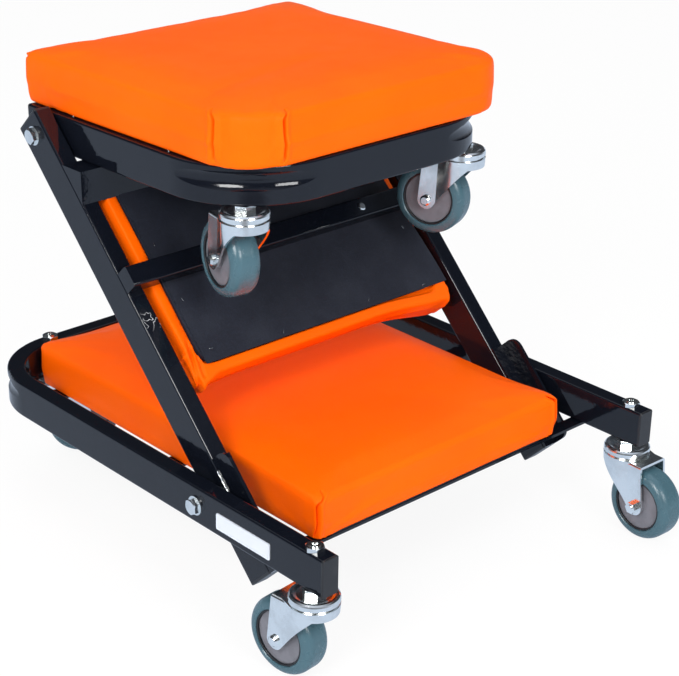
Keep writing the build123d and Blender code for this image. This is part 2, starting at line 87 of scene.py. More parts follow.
class SeatSizes(bpy.types.PropertyGroup):
    voxel: length("Cloth grid", "Spacing of the cushion covers' mesh before it is smoothed", 0.005)
    tuck: length("Tuck", "How far a cover starts inside its finished size", 0.0016)
    base_swell: length("Base swell", "Most that the base cushion's cover may move as it fills", 0.0034)
    back_swell: length("Back swell", "Most that the back cushion's cover may move as it fills", 0.0028)
    seat_swell: length("Seat swell", "Most that the seat cushion's cover may move as it fills", 0.0032)
    pressure: FloatProperty(name="Filling", description="Pressure of the foam on the cover", default=4.0)
    steps: IntProperty(name="Steps", description="Frames that the covers are given to settle", default=20)
    fold_depth: length("Fold depth", "Depth of the slit under a folded corner", 0.0075)
    fold_lap: length("Fold lap", "How far the folded edge stands out", 0.0026)
    staple_length: length("Staple", "Length that shows of a staple's crown", 0.0042)
    staple_wire: length("Staple wire", "Thickness of a staple's wire", 0.0008)
    weld_r: length("Weld", "Half the width of a weld bead", 0.0013)
    # The black ring round each wheel's core is painted shade of the groove between core and tread.
    groove_shade_r: length("Wheel seam", "Half the width of the seam round a wheel's core", 0.0011)
    sticker_t: length("Sticker", "Thickness of the blank sticker", 0.00018)


class SeatColours(bpy.types.PropertyGroup):
    paint: colour("Paint", "Gloss black of the tube frames", (0.0040, 0.0052, 0.0090))
    vinyl: colour("Vinyl", "Orange of the cushion covers", (0.97, 0.122, 0.0004))
    vinyl_deep: colour("Vinyl, deep", "Deeper orange of the cover's patches", (0.96, 0.096, 0.0003))
    cloth: colour("Board cloth", "Black of the boards' covering", (0.0085, 0.0105, 0.0195))
    plug: colour("Plug", "Black of the moulded tube plugs", (0.012, 0.0125, 0.015))
    zinc: colour("Zinc", "Bright zinc plate of the casters and bolts", (0.97, 1.0, 0.99))
    tread: colour("Tread", "Blue grey rubber of the wheels", (0.050, 0.110, 0.140))
    core: colour("Core", "Grey moulding of the wheel cores", (0.165, 0.165, 0.190))
    sticker: colour("Sticker", "Off-white of the blank sticker", (0.60, 0.64, 0.71))
    floor: colour("Floor", "Pale studio floor", (0.86, 0.86, 0.86))
    mirrored_floor: colour("Floor in gloss", "Floor as paint and zinc mirror it", (0.50, 0.60, 0.76))


class StudioSettings(bpy.types.PropertyGroup):
    focal: FloatProperty(name="Lens", description="Focal length, for a 36 mm frame", default=92.53,
                         unit="CAMERA")
    key: FloatProperty(name="Key", description="Power of the lamp on the left", default=30.0, subtype="POWER")
    fill: FloatProperty(name="Fill", description="Power of the lamp in front", default=24.0, subtype="POWER")
    top: FloatProperty(name="Top", description="Power of the lamp overhead", default=11.0, subtype="POWER")
    sky: FloatProperty(name="Sky", description="Strength of the even light all round", default=0.98)


# Finishes

class Wire:
    """A socket of a node tree that Python's operators act on, each as a Math node."""

    def __init__(self, nodes, socket):
        self.nodes, self.socket = nodes, socket

    def maths(self, operation, *values):
        return self.nodes.node("ShaderNodeMath", {"operation": operation}, dict(enumerate(values)))

    def __add__(self, other):
        return self.maths("ADD", self, other)

    def __rsub__(self, other):
        return self.maths("SUBTRACT", other, self)

    def __mul__(self, other):
        return self.maths("MULTIPLY", self, other)

    __radd__ = __add__

    def between(self, low, high):
        """0 below low, 1 above high and smooth in between."""
        return self.nodes.node("ShaderNodeMapRange", {"interpolation_type": "SMOOTHSTEP"},
                               {"Value": self, "From Min": low, "From Max": high})

    def most(self, other):
        return self.maths("MAXIMUM", self, other)


class Nodes:
    """The node tree of a material or a world, built up from expressions."""

    def __init__(self, owner):
        owner.use_nodes = True
        self.tree = owner.node_tree
        self.tree.nodes.clear()

    def node(self, kind, settings, inputs, output=0):
        """A new node, with its settings, the values or links of its sockets, and the output to use."""
        node = self.tree.nodes.new(kind)
        for key, value in settings.items():
            if key == "stops":
                self.set_stops(node.color_ramp, value)
            else:
                setattr(node, key, value)
        for key, value in inputs.items():
            self.feed(node.inputs[key], value)
        return Wire(self, node.outputs[output])

    def set_stops(self, ramp, stops):
        while len(ramp.elements) < len(stops):
            ramp.elements.new(0.5)
        for element, (place, tint) in zip(ramp.elements, stops):
            element.position, element.color = place, (*tint, 1)

    def feed(self, socket, value):
        if isinstance(value, Wire):
            self.tree.links.new(value.socket, socket)
        elif isinstance(value, (int, float)):
            socket.default_value = value
        else:
            socket.default_value = (*value, 1) if socket.type == "RGBA" else tuple(value)

    def close(self, kind, shader):
        """The tree's output node, fed by its last shader."""
        self.feed(self.tree.nodes.new(kind).inputs["Surface"], shader)

    def ray(self, kind):
        """1 for rays of a kind: Camera, Glossy or Transmission."""
        return self.node("ShaderNodeLightPath", {}, {}, f"Is {kind} Ray")

    def mixed(self, share, first, second):
        """Colour mix, from the first at share 0 to the second at 1."""
        return self.node("ShaderNodeMix", {"data_type": "RGBA"}, {0: share, 6: first, 7: second}, 2)

    def mixed_shader(self, share, first, second):
        return self.node("ShaderNodeMixShader", {}, {0: share, 1: first, 2: second})

    def distance(self, point):
        """How far a point is from the surface, both in object coordinates."""
        place = self.node("ShaderNodeTexCoord", {}, {}, "Object")
        return self.node("ShaderNodeVectorMath", {"operation": "DISTANCE"}, {0: place, 1: point}, "Value")


class Finish(Nodes):
    """A material with one Principled shader."""

    def __init__(self, name):
        self.material = bpy.data.materials.new(name)
        super().__init__(self.material)
        self.place = self.node("ShaderNodeTexCoord", {}, {}, "Object")

    def surface(self, **inputs):
        """Close the finish with its shader, whose sockets are named with _ for a space."""
        sockets = {key.replace("_", " "): value for key, value in inputs.items()}
        self.close("ShaderNodeOutputMaterial", self.node("ShaderNodeBsdfPrincipled", {}, sockets))
        return self.material

    def noise(self, scale, detail=3.0, roughness=0.5, stretch=None):
        """Soft noise from 0 to 1, scale waves to a metre."""
        at = self.place
        if stretch:
            at = self.node("ShaderNodeMapping", {}, {"Vector": at, "Scale": stretch})
        return self.node("ShaderNodeTexNoise", {}, {
            "Vector": at, "Scale": scale, "Detail": detail, "Roughness": roughness}, "Fac")

    def cells(self, scale):
        """Distance from the middle of each of scale cells to a metre."""
        return self.node("ShaderNodeTexVoronoi", {}, {"Vector": self.place, "Scale": scale}, "Distance")

    def bump(self, height, distance):
        return self.node("ShaderNodeBump", {}, {"Distance": distance, "Height": height}, "Normal")

    def near(self, point, reach, core=0.2):
        """1 close to a point, within the core's share of the reach, and 0 beyond the reach."""
        return 1.0 - self.distance(point).between(core * reach, reach)


def darker(tint, share):
    return tuple(channel * share for channel in tint)


def gloss_paint(tints):
    """Powder coat: deep gloss with a slight orange peel, dust in the film and a rub on the left arm."""
    finish = Finish("gloss_paint")
    dusty, rubbed = (0.03, 0.032, 0.036), (0.55, 0.56, 0.58)
    peel = finish.noise(230.0, 2.0)
    ripple = finish.noise(38.0, 2.0)
    dust = finish.noise(900.0, 1.0).between(0.66, 0.80)
    rubbed_at = ARMS @ Vector((-0.1893, 0.1777, TUBE_HALF))
    swirl = finish.noise(95.0, 2.0, 0.5)
    strokes = swirl.between(0.480, 0.496) * (1.0 - swirl.between(0.504, 0.520))
    rub = strokes * finish.near(rubbed_at, 0.0135)
    haze = finish.noise(9.0, 4.0).between(0.35, 0.75)
    base = finish.mixed(dust * 0.35, tints.paint, dusty)
    base = finish.mixed(rub, base, rubbed)
    return finish.surface(
        Base_Color=base,
        Roughness=0.05 + haze * 0.05 + dust * 0.10 + rub * 0.4,
        Normal=finish.bump(peel * 0.5 + ripple * 1.5, 0.00016),
        IOR=1.45,
    )


def vinyl(tints):
    """Upholstery vinyl: a fine pebble grain, faint stretch marks and a soft sheen."""
    finish = Finish("orange_vinyl")
    grain = finish.cells(1050.0)
    pores = finish.noise(2300.0, 2.0)
    drag = finish.noise(26.0, 4.0)
    stretch = finish.noise(150.0, 3.0, stretch=(0.25, 1.0, 1.0))
    patches = finish.noise(11.0, 3.0).between(0.30, 0.74)
    base = finish.mixed(patches * 0.45, tints.vinyl, tints.vinyl_deep)
    base = finish.mixed(grain.between(0.0, 0.5) * 0.10, base, darker(tints.vinyl_deep, 0.7))
    return finish.surface(
        Base_Color=base,
        Roughness=0.38 + patches * 0.08 + pores * 0.08,
        Normal=finish.bump(grain * 0.35 + pores * 0.15 + drag * 1.6 + stretch * 0.25, 0.00045),
        Specular_IOR_Level=0.06,
    )


def board_cloth(tints):
    """Bonded black cloth over the boards: short fibres, lint and a dusty tone."""
    finish = Finish("board_cloth")
    fibre_tone, lint_tone = (0.020, 0.026, 0.048), (0.085, 0.10, 0.13)
    fibre_a = finish.noise(900.0, 3.0, 0.7, stretch=(1.0, 0.22, 0.22))
    fibre_b = finish.noise(1000.0, 3.0, 0.7, stretch=(0.20, 1.0, 1.0))
    fibres = fibre_a.most(fibre_b)
    lint = finish.noise(420.0, 5.0, 0.75, stretch=(1.0, 0.35, 0.6)).between(0.70, 0.78)
    dust = finish.noise(24.0, 4.0).between(0.35, 0.8)
    base = finish.mixed(fibres.between(0.45, 0.8) * 0.55, tints.cloth, fibre_tone)
    base = finish.mixed(lint * 0.6 + dust * 0.08, base, lint_tone)
    return finish.surface(
        Base_Color=base,
        Roughness=0.62 + fibres * 0.2,
        Normal=finish.bump(fibres * 1.0 + dust * 1.2, 0.0005),
        IOR=1.4,
    )


def moulded_plug(tints):
    """Black moulded plastic with a fine spark-eroded grain."""
    finish = Finish("plug_plastic")
    worn = (0.035, 0.037, 0.042)
    grain = finish.noise(1700.0, 2.0)
    wear = finish.noise(60.0, 4.0).between(0.5, 0.8)
    return finish.surface(
        Base_Color=finish.mixed(wear * 0.35, tints.plug, worn),
        Roughness=0.30 + grain * 0.12 + wear * 0.08,
        Normal=finish.bump(grain, 0.00012),
    )


def zinc_plate(tints):
    """Bright zinc plate: rolling marks, dull patches and small stains."""
    finish = Finish("zinc_plate")
    stained = (0.42, 0.43, 0.45)
    clouds = finish.noise(45.0, 5.0, 0.6)
    marks = finish.noise(700.0, 3.0, 0.6, stretch=(1.0, 1.0, 0.06))
    stain = finish.noise(120.0, 4.0, 0.7).between(0.62, 0.80)
    tinted = finish.mixed(clouds.between(0.35, 0.65), tints.zinc, darker(tints.zinc, 0.86))
    tinted = finish.mixed(stain * 0.25, tinted, stained)
    return finish.surface(
        Base_Color=tinted,
        Metallic=1.0 - stain * 0.10,
        Roughness=0.12 + clouds * 0.10 + marks * 0.04 + stain * 0.06,
        Normal=finish.bump(marks * 0.12 + clouds, 0.00010),
    )


def wheel_rubber(tints):
    """Grey tread rubber: satin, faintly mottled and scuffed."""
    finish = Finish("wheel_rubber")
    scuffed = (0.23, 0.29, 0.31)
    mottle = finish.noise(55.0, 4.0).between(0.3, 0.8)
    grain = finish.noise(1300.0, 2.0)
    scuff = finish.noise(260.0, 5.0, 0.7).between(0.60, 0.76)
    base = finish.mixed(mottle * 0.45, tints.tread, darker(tints.tread, 0.74))
    base = finish.mixed(scuff * 0.35, base, scuffed)
    return finish.surface(
        Base_Color=base,
        Roughness=0.24 + mottle * 0.08 + scuff * 0.12,
        Normal=finish.bump(grain * 0.4 + mottle * 0.8 + scuff * 0.3, 0.00020),
        IOR=1.5,
    )


def core_plastic(tints):
    """Grey moulded wheel core with flow marks and a slight sheen."""
    finish = Finish("core_plastic")
    flow = finish.noise(70.0, 5.0, 0.6)
    grain = finish.noise(1500.0, 2.0)
    base = finish.mixed(flow.between(0.35, 0.7) * 0.6, tints.core, darker(tints.core, 0.66))
    return finish.surface(
        Base_Color=base,
        Roughness=0.34 + flow * 0.14,
        Normal=finish.bump(grain * 0.5 + flow * 0.6, 0.00018),
    )


def sticker_film(tints):
    """Blank white film with a few creases and soiled patches."""
    finish = Finish("sticker_film")
    soiled = (0.55, 0.56, 0.56)
    soil = finish.noise(130.0, 5.0, 0.7).between(0.55, 0.80)
    return finish.surface(
        Base_Color=finish.mixed(soil * 0.4, tints.sticker, soiled),
        Roughness=0.36 + soil * 0.2,
        Normal=finish.bump(finish.noise(80.0, 3.0), 0.0003),
    )


FINISH_OF_SLOT = {
    "paint": gloss_paint, "vinyl": vinyl, "board": board_cloth, "plug": moulded_plug,
    "zinc": zinc_plate, "tread": wheel_rubber, "wheel_core": core_plastic,
}
FINISHES = {}


def finish(slot):
    """The slot's material, made the first time that it is asked for."""
    if slot not in FINISHES:
        FINISHES[slot] = FINISH_OF_SLOT[slot](bpy.context.scene.seat_colours)
    return FINISHES[slot]


# Modelling helpers

def alone(piece):
    """Select one piece and nothing else."""
    bpy.ops.object.select_all(action="DESELECT")
    piece.select_set(True)
    bpy.context.view_layer.objects.active = piece


def settle(piece):
    """Put a piece's place into its mesh."""
    alone(piece)
    bpy.ops.object.transform_apply(location=True, rotation=True, scale=True)


def dress(piece, body, slot):
    """Give a piece the finish of a slot and the body that it rides on."""
    piece.data.materials.clear()
    piece.data.materials.append(finish(slot))
    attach(piece, body)


def join(pieces, name):
    """Make one piece of several, under a new name."""
    bpy.ops.object.select_all(action="DESELECT")
    for piece in pieces:
        piece.select_set(True)
    bpy.context.view_layer.objects.active = pieces[0]
    bpy.ops.object.join()
    joined = bpy.context.object
    joined.name = joined.data.name = name
    return joined


def points_of(piece, reading="co"):
    """The places of a piece's vertices, or with the reading "normal" their normals."""
    values = np.empty(len(piece.data.vertices) * 3)
    piece.data.vertices.foreach_get(reading, values)
    return values.reshape(-1, 3)


def move_points(piece, co):
    piece.data.vertices.foreach_set("co", np.ascontiguousarray(co, dtype=np.float32).ravel())
    piece.data.update()


def into(section, co):
    """World points as points of a section."""
    turn = np.array(section.inverted())
    return co @ turn[:3, :3].T + turn[:3, 3]


def out_of(section, co):
    turn = np.array(section)
    return co @ turn[:3, :3].T + turn[:3, 3]


def smooth_step(t):
    t = np.clip(t, 0, 1)
    return t * t * (3 - 2 * t)


# Cushions. In a cushion's own frame the board's side is at z = 0 and the soft side is up.

LEFTWARD, RIGHTWARD, FRONTWARD, BACKWARD = (-1, 0), (1, 0), (0, -1), (0, 1)


def start_cover(name, node, spacing):
    """A copy of the node's mesh, merged and remeshed to an even grid."""
    same_place = 1e-5
    bpy.ops.object.select_all(action="DESELECT")
    piece = bpy.data.objects.new(name, NODES[node].data.copy())
    bpy.context.scene.collection.objects.link(piece)
    alone(piece)
    bpy.ops.object.mode_set(mode="EDIT")
    bpy.ops.mesh.select_all(action="SELECT")
    bpy.ops.mesh.remove_doubles(threshold=same_place)
    bpy.ops.object.mode_set(mode="OBJECT")
    piece.data.remesh_voxel_size = spacing
    piece.data.remesh_voxel_adaptivity = 0.0
    bpy.ops.object.voxel_remesh()
    return piece


def fill_cover(piece, held, swell, sizes):
    """Cloth simulation: the cover is blown up by its foam, held where it is stapled down."""
    stretch, bend, mass, quality, least_hold = 18, 1.2, 0.3, 5, 0.001
    alone(piece)
    group = piece.vertex_groups.new(name="held")
    for index in np.flatnonzero(held > least_hold):
        group.add([int(index)], float(held[index]), "REPLACE")
    before = points_of(piece)
    bpy.ops.object.modifier_add(type="CLOTH")
    cloth = piece.modifiers[-1]
    cloth.settings.quality = quality
    cloth.settings.mass = mass
    cloth.settings.tension_stiffness = stretch
    cloth.settings.compression_stiffness = stretch
    cloth.settings.bending_stiffness = bend
    cloth.settings.use_pressure = True
    cloth.settings.uniform_pressure_force = sizes.pressure
    cloth.settings.effector_weights.gravity = 0
    cloth.settings.vertex_group_mass = "held"
    cloth.point_cache.frame_start = 1
    cloth.point_cache.frame_end = sizes.steps
    for step in range(1, sizes.steps + 1):
        bpy.context.scene.frame_set(step)
    bpy.ops.object.modifier_apply(modifier=cloth.name)
    bpy.context.scene.frame_set(1)
    moved = points_of(piece) - before
    reach = np.linalg.norm(moved, axis=1, keepdims=True)
    move_points(piece, before + moved * swell / np.sqrt(swell * swell + reach * reach))


def firm_corners(co, reach=0.075):
    """1 at the plan's corners, where the foam block fills the cover, 0 from a reach away."""
    x, y = np.abs(co[:, 0]), np.abs(co[:, 1] - (co[:, 1].min() + co[:, 1].max()) / 2)
    apart = np.hypot(x.max() - x, y.max() - y)
    return smooth_step(1 - apart / reach)


def refine(piece, section, spots, reach):
    """Split the faces near upright lines, given as (x, y) in the cushion's frame."""
    local = into(section, points_of(piece))
    near = np.zeros(len(local), bool)
    for x, y in spots:
        near |= np.hypot(local[:, 0] - x, local[:, 1] - y) < reach
    alone(piece)
    bpy.ops.object.mode_set(mode="EDIT")
    bpy.ops.mesh.select_all(action="DESELECT")
    bpy.ops.object.mode_set(mode="OBJECT")
    for face in piece.data.polygons:
        face.select = all(near[i] for i in face.vertices)
    bpy.ops.object.mode_set(mode="EDIT")
    bpy.ops.mesh.subdivide(number_cuts=3, smoothness=0.0)
    bpy.ops.object.mode_set(mode="OBJECT")


def fold_corner(co, spot, along, out, top, sizes, deep):
    """A folded edge that runs down the side at a spot: a dark slit with a rounded lip beside it."""
    slit_w, lip_at, lip_w, far_lip_at, far_lip_w, far_lip = 0.0014, 0.0034, 0.0030, 0.0040, 0.0028, 0.35
    skin, skin_fade, curl_by, curl_from, curl_over = 0.012, 0.006, 0.011, 0.012, 0.014
    head, head_fade, foot, foot_fade, shallow = 0.003, 0.007, 0.002, 0.008, 0.35
    s = (co[:, 0] - spot[0]) * along[0] + (co[:, 1] - spot[1]) * along[1]
    depth_in = (co[:, 0] - spot[0]) * out[0] + (co[:, 1] - spot[1]) * out[1]
    facing = smooth_step((depth_in + skin) / skin_fade)
    curl = s + curl_by * smooth_step((co[:, 2] - top + curl_from) / curl_over) ** 2
    height = 1 - smooth_step((co[:, 2] - top + head) / head_fade)
    height *= smooth_step((co[:, 2] + foot) / foot_fade)
    slit = -np.exp(-(curl / slit_w) ** 2) * (shallow + (1 - shallow) * np.clip(co[:, 2] / top, 0, 1))
    lip = np.where(curl > 0, np.exp(-((curl - lip_at) / lip_w) ** 2), 0)
    lip += far_lip * np.where(curl < 0, np.exp(-((curl + far_lip_at) / far_lip_w) ** 2), 0)
    push = (slit * sizes.fold_depth * deep + lip * sizes.fold_lap) * height * facing
    co[:, 0] += push * out[0]
    co[:, 1] += push * out[1]


def make_cushion(name, node, own, body, swell, folds, board=None, creases=(), shaping=None,
                 folding=None):
    """One cushion in its own frame: remeshed, filled, smoothed, folded and kept off its board."""
    foot_h, foot_fade, fold_top, fold_reach, firm_share, facing_down = 0.010, 0.006, 0.006, 0.019, 0.8, -0.5
    sizes = bpy.context.scene.seat_sizes
    low, high = local_box(node, own)
    piece = start_cover(name, node, sizes.voxel)
    local = into(own, points_of(piece))
    normal = points_of(piece, "normal") @ np.array(own.inverted())[:3, :3].T
    foot = smooth_step((foot_h - local[:, 2]) / foot_fade)
    held = np.clip(foot + (normal[:, 2] < facing_down), 0, 1)
    firm = firm_corners(local)
    # The cover starts inside its finished size, apart from where it is held.
    local -= normal * ((1 - held) * (1 - firm) * sizes.tuck)[:, None]
    move_points(piece, out_of(own, local))
    fill_cover(piece, held, swell * (1 - firm_share * firm)[:, None], sizes)
    alone(piece)
    bpy.ops.object.modifier_add(type="SUBSURF")
    smoothing = piece.modifiers[-1]
    smoothing.levels = smoothing.render_levels = 1
    bpy.ops.object.modifier_apply(modifier=smoothing.name)
    if shaping:
        local = into(own, points_of(piece))
        shaping(local)
        move_points(piece, out_of(own, local))
    refine(piece, own, [spot for spot, *_ in folds], fold_reach)
    local = into(own, points_of(piece))
    for spot, along, out, deep in folds:
        fold_corner(local, spot, along, out, high[2] - low[2] - fold_top, sizes, deep)
    for start, end, depth, width in creases:
        crease(local, start, end, depth, width)
    if folding:
        folding(local)
    if board:
        keep_off(local, *board)
    move_points(piece, out_of(own, local))
    alone(piece)
    bpy.ops.object.shade_smooth()
    dress(piece, body, "vinyl")
    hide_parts(node)


def shape_corner(co, centre, side, old, new, flat=0.0):
    """Draw a corner of the plan out from one radius to a smaller one, or towards a flat facet."""
    x, y = (co[:, 0] - centre[0]) * side[0], (co[:, 1] - centre[1]) * side[1]
    inside = (x > 0) & (y > 0)
    angle = np.arctan2(np.maximum(y, 1e-9), np.maximum(x, 1e-9))
    c, s = np.cos(angle), np.sin(angle)
    shift = old - new
    wall = old / np.maximum(c, s)
    over = wall * np.minimum(c, s) > shift
    arc = shift * (c + s) + np.sqrt(np.maximum((shift * (c + s)) ** 2 - 2 * shift ** 2 + new ** 2, 0))
    reach = np.where(over, arc, wall)
    facet = old * cos(pi / 4) / np.cos(angle - pi / 4)
    scale = np.where(inside, (reach * (1 - flat) + facet * flat) / old, 1.0)
    co[:, 0] = centre[0] + (co[:, 0] - centre[0]) * scale
    co[:, 1] = centre[1] + (co[:, 1] - centre[1]) * scale


def hang_hem(co, low, high, corner, drop, reach=0.012):
    """Let the cover's edge hang down round the board, a plan from low to high with round corners."""
    centre, half = (low[:2] + high[:2]) / 2, (high[:2] - low[:2]) / 2
    offset = co[:, :2] - centre
    q = np.abs(offset) - half + corner
    over = np.maximum(q, 0)
    length_over = np.linalg.norm(over, axis=1)
    past = length_over - corner + np.minimum(q.max(axis=1), 0)
    away = np.where(length_over[:, None] > 1e-6, over / np.maximum(length_over, 1e-6)[:, None],
                    np.stack([q[:, 0] >= q[:, 1], q[:, 0] < q[:, 1]], axis=1)) * np.sign(offset)
    inner, outer, height = -0.0024, 0.0004, 0.003
    close = (past > inner) & (past < outer) & (co[:, 2] < height)
    co[close, :2] += (away * (outer - past)[:, None])[close]
    outside = (past > 0) | close
    co[:, 2] -= drop * outside * smooth_step((reach - co[:, 2]) / reach)


def crease(co, start, end, depth, width):
    """A shallow drawn line over the soft side, from one (x, y) to another."""
    lowest, blend, ends = 0.030, 0.008, 0.2
    a, b = np.array(start), np.array(end)
    run = b - a
    share = np.clip(((co[:, :2] - a) @ run) / (run @ run), 0, 1)
    apart = np.linalg.norm(co[:, :2] - a - share[:, None] * run, axis=1)
    fade = smooth_step(share / ends) * smooth_step((1 - share) / ends)
    top = smooth_step((co[:, 2] - lowest) / blend)
    co[:, 2] -= depth * np.exp(-(apart / width) ** 2) * fade * top


def groove(co, start, end, depth, width, push):
    """A fold in the cover along a line between two points, pushed in, or out by a negative depth."""
    tail, first, rise = 0.35, 0.3, 0.2
    a, b = np.array(start), np.array(end)
    run = b - a
    share = np.clip(((co - a) @ run) / (run @ run), 0, 1)
    apart = np.linalg.norm(co - a - share[:, None] * run, axis=1)
    fade = smooth_step((1 - share) / tail) * smooth_step(first + share / rise)
    co += np.array(push) * (depth * fade * np.exp(-(apart / width) ** 2))[:, None]


def pull(co, point, reach, shift):
    """Draw the cover out round a point."""
    apart = np.linalg.norm(co - np.array(point), axis=1)
    co += np.array(shift) * smooth_step(1 - apart / reach)[:, None]


def keep_off(co, low, high):
    """Move points that lie inside the board's box to its nearest inner face."""
    inside = ((co > low) & (co < high)).all(axis=1)
    room = np.stack([co[:, 0] - low[0], high[0] - co[:, 0], co[:, 1] - low[1], high[1] - co[:, 1],
                     high[2] - co[:, 2]], axis=1)
    nearest = room.argmin(axis=1)
    faces = ((0, low[0]), (0, high[0]), (1, low[1]), (1, high[1]), (2, high[2]))
    for face, (axis, limit) in enumerate(faces):
        co[inside & (nearest == face), axis] = limit


def local_box(node, section):
    """A node's box in a section's frame."""
    co = into(section, points_of(NODES[node]))
    return co.min(axis=0), co.max(axis=0)


def board_box(node, own, margin=0.0002, under=0.01):
    """The space that a cushion's cover leaves to its board: its box with a margin, and open below."""
    low, high = local_box(node, own)
    return low - margin - np.array((0, 0, under)), high + margin


class SEAT_OT_base_cushion(bpy.types.Operator):
    """Make the long cushion that lies in the base"""
    bl_idname = "seat.base_cushion"
    bl_label = "Base cushion"

    def execute(self, context):
        own = BASE @ Matrix.Translation((0, 0, -TUBE_HALF))
        low, high = local_box("base_cushion", own)
        left, right, front, back = low[0], high[0], low[1], high[1]
        inset, radius = 0.0045, 0.016
        folds = [
            ((left + inset, front), LEFTWARD, FRONTWARD, 1.7),
            ((right - inset, front), RIGHTWARD, FRONTWARD, 0.8),
            ((left + inset, back), LEFTWARD, BACKWARD, 0.7),
            ((right - inset, back), RIGHTWARD, BACKWARD, 0.7),
        ]

        def shaping(co):
            for x, side in ((left, -1), (right, 1)):
                shape_corner(co, (x - side * radius, front + radius), (side, -1), radius, radius / 2)
            # The hem hangs a little lower at the left front corner.
            hem_length, hem_drop, hem_depth, hem_h, start, fade = 0.031, 0.0026, 0.004, 0.010, 0.002, 0.003
            hem = smooth_step((co[:, 0] - left) / start) * smooth_step((left + hem_length - co[:, 0]) / fade)
            hem *= smooth_step((front + hem_depth - co[:, 1]) / fade)
            co[:, 2] -= hem_drop * hem * smooth_step((hem_h - co[:, 2]) / hem_h)

        make_cushion("base_pad", "base_cushion", own, "base", context.scene.seat_sizes.base_swell, folds,
                     board=board_box("base_board", own), shaping=shaping)
        return {"FINISHED"}


class SEAT_OT_back_cushion(bpy.types.Operator):
    """Make the cushion between the arms, whose board faces the front while the seat is folded"""
    bl_idname = "seat.back_cushion"
    bl_label = "Back cushion"

    def execute(self, context):
        own = ARMS @ Matrix.Translation((0, 0, TUBE_HALF)) @ Matrix.Rotation(pi, 4, "Y")
        low, high = local_box("middle_cushion", own)
        left, right, front, back = low[0], high[0], low[1], high[1]
        inset = 0.0045
        folds = [
            ((left + inset, front), RIGHTWARD, FRONTWARD, 1.2),
            ((right - inset, front), LEFTWARD, FRONTWARD, 1.4),
            ((left + inset, back), RIGHTWARD, BACKWARD, 0.9),
            ((right - inset, back), LEFTWARD, BACKWARD, 0.9),
            ((right - 0.010, front + 0.025), BACKWARD, RIGHTWARD, 0.0),
        ]
        # Where the lower edge is drawn out: point, reach and shift. The frame is turned over, so its
        # right is the left of the photograph, where the slack corner hangs like an ear.
        pulls = (
            ((right, front, 0.004), 0.034, (0.0035, -0.0105, -0.0005)),
            ((left, front, 0.003), 0.022, (-0.0025, -0.0020, -0.0005)),
            ((left, front, 0.022), 0.110, (0.0, -0.0085, 0.0)),
        )
        # The ear's folds: start and end from its corner, depth, width and push.
        grooves = (
            ((-0.001, -0.006, 0.003), (-0.012, 0.048, 0.0), 0.0050, 0.0022, (-0.35, 0, 1)),
            ((0.002, -0.004, 0.008), (0.001, 0.062, 0.010), 0.0050, 0.0024, (-1, 0, 0)),
            ((-0.010, 0.002, 0.001), (-0.015, 0.030, 0.0), 0.0030, 0.0018, (0, 0, 1)),
            ((-0.006, 0.010, 0.0), (-0.004, 0.085, 0.002), -0.0022, 0.0050, (-0.5, 0, 1)),
        )

        def shaping(co):
            for point, reach, shift in pulls:
                pull(co, point, reach, shift)

        def folding(co):
            corner = np.array((right, front, 0.0))
            for start, end, depth, width, push in grooves:
                groove(co, corner + start, corner + end, depth, width, push)

        make_cushion("back_pad", "middle_cushion", own, "arms", context.scene.seat_sizes.back_swell, folds,
                     board=board_box("middle_board", own), shaping=shaping, folding=folding)
        return {"FINISHED"}


class SEAT_OT_seat_cushion(bpy.types.Operator):
    """Make the seat's cushion, with its folded corners and its hem round the board"""
    bl_idname = "seat.seat_cushion"
    bl_label = "Seat cushion"

    def execute(self, context):
        own = SEAT @ Matrix.Translation((0, 0, TUBE_HALF + SEAT_BOARD_T))
        low, high = local_box("seat_cushion", own)
        left, right, front, back = low[0], high[0], low[1], high[1]
        radius, facet_radius, facet, tight_radius = 0.052, 0.036, 0.45, 0.007
        board_low, board_high = local_box("seat_board", own)
        board_radius, hem_drop = 0.0417, 0.0054
        folds = [
            ((left, front + 0.046), FRONTWARD, LEFTWARD, 1.0),
            ((left + 0.052, front), LEFTWARD, FRONTWARD, 1.2),
            ((right - 0.012, front), RIGHTWARD, FRONTWARD, 0.5),
            ((left + 0.006, back), RIGHTWARD, BACKWARD, 0.7),
            ((right - 0.006, back), LEFTWARD, BACKWARD, 0.7),
        ]
        # Start, end, depth and width
        creases = (
            ((-0.165, -0.215), (0.02, -0.18), 0.0012, 0.012),
            ((0.02, -0.18), (0.15, -0.06), 0.0010, 0.014),
        )

        def shaping(co):
            shape_corner(co, (left + radius, front + radius), (-1, -1), radius, facet_radius, facet)
            for x, side in ((left, -1), (right, 1)):
                shape_corner(co, (x - side * radius, back - radius), (side, 1), radius, tight_radius)
            hang_hem(co, board_low, board_high, board_radius, hem_drop)

        make_cushion("seat_pad", "seat_cushion", own, "seat", context.scene.seat_sizes.seat_swell, folds,
                     creases=creases, shaping=shaping)
        return {"FINISHED"}


# Small trim

# Staples of the back board: place across, place along the arms and turn
BACK_STAPLES = (
    (-0.1463, 0.2490, 1.2), (-0.1467, 0.1873, 1.4), (-0.1430, 0.1320, 0.4), (-0.0559, 0.1242, 0.7),
    (0.0617, 0.1267, 0.7), (0.1394, 0.1225, 0.6), (0.1530, 0.1900, 1.5), (0.1500, 0.2600, 1.7),
)


